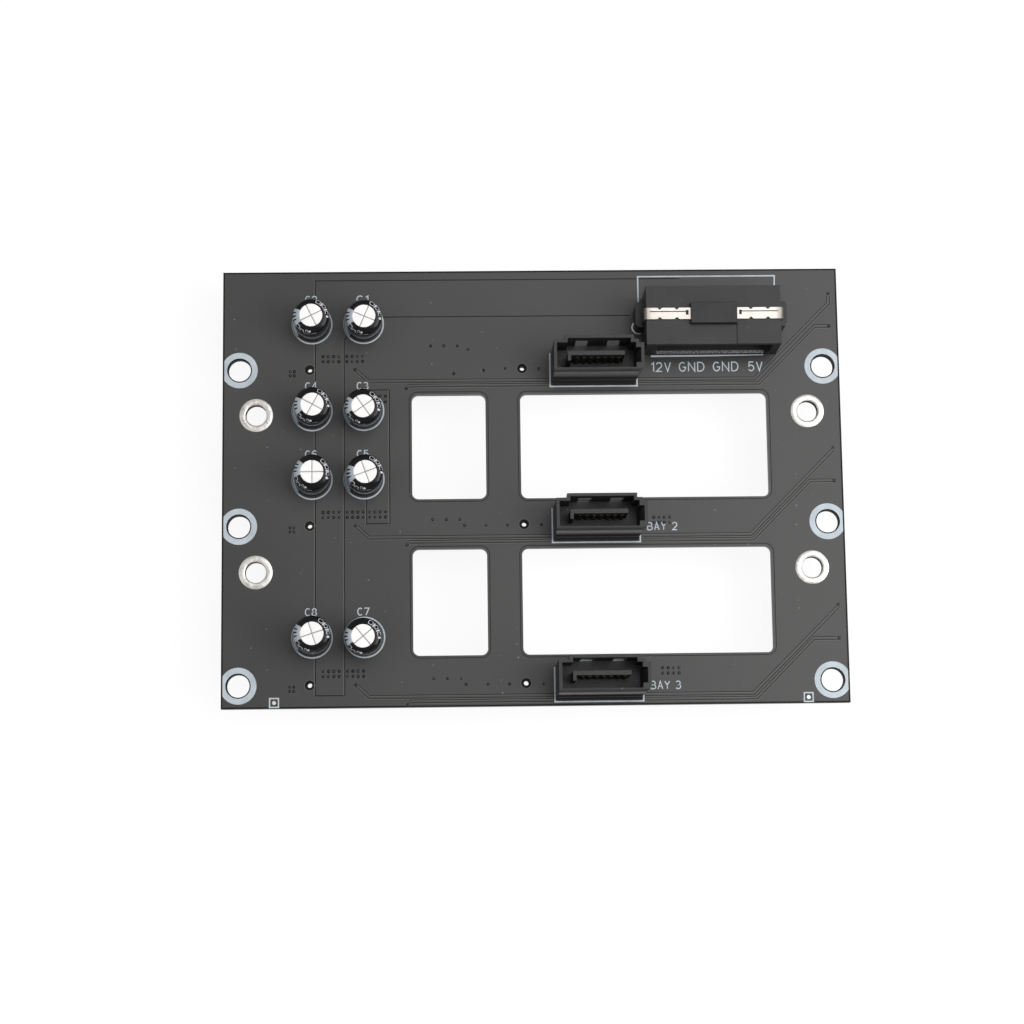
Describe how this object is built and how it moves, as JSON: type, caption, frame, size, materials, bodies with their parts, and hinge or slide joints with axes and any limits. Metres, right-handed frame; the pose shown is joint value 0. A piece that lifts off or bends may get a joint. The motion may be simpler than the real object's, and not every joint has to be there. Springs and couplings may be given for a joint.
{
  "type": "drive backplane board",
  "caption": "Flat drive backplane board with cooling cut-outs, keyed data headers, a strapped power header, capacitors and drive sockets underneath.",
  "frame": {"origin": "middle of the four corner screw holes, on the board's cable side face", "axes": "+X along the board towards the power header's end, +Y across the board towards the power header, +Z out of the cable side"},
  "size_m": [0.114, 0.0809, 0.0202],
  "materials": {
    "board": "matt dark grey solder mask over glass-fibre laminate",
    "tinned": "bright tinned copper",
    "sleeve": "glossy black shrunk sleeve over an aluminium can, bare on top",
    "lead": "tinned wire",
    "header": "fine-grained black moulding",
    "gold": "thin gold plating",
    "pin": "tinned brass",
    "strap": "bright tinned spring strip",
    "socket": "fine-grained black moulding"
  },
  "bodies": {
    "root": {"circuit_board": "board", "capacitor_1_body": "sleeve", "capacitor_1_leads": "lead", "capacitor_2_body": "sleeve", "capacitor_2_leads": "lead", "capacitor_3_body": "sleeve", "capacitor_3_leads": "lead", "capacitor_4_body": "sleeve", "capacitor_4_leads": "lead", "capacitor_5_body": "sleeve", "capacitor_5_leads": "lead", "capacitor_6_body": "sleeve", "capacitor_6_leads": "lead", "capacitor_7_body": "sleeve", "capacitor_7_leads": "lead", "capacitor_8_body": "sleeve", "capacitor_8_leads": "lead", "data_header_1_shroud": "header", "data_header_1_contacts": "gold", "data_header_2_shroud": "header", "data_header_2_contacts": "gold", "data_header_3_shroud": "header", "data_header_3_contacts": "gold", "power_header_housing": "header", "power_header_pins": "pin", "power_header_strap": "strap", "drive_socket_1_housing": "socket", "drive_socket_1_contacts": "gold", "drive_socket_2_housing": "socket", "drive_socket_2_contacts": "gold", "drive_socket_3_housing": "socket", "drive_socket_3_contacts": "gold"}
  },
  "joints": []
}
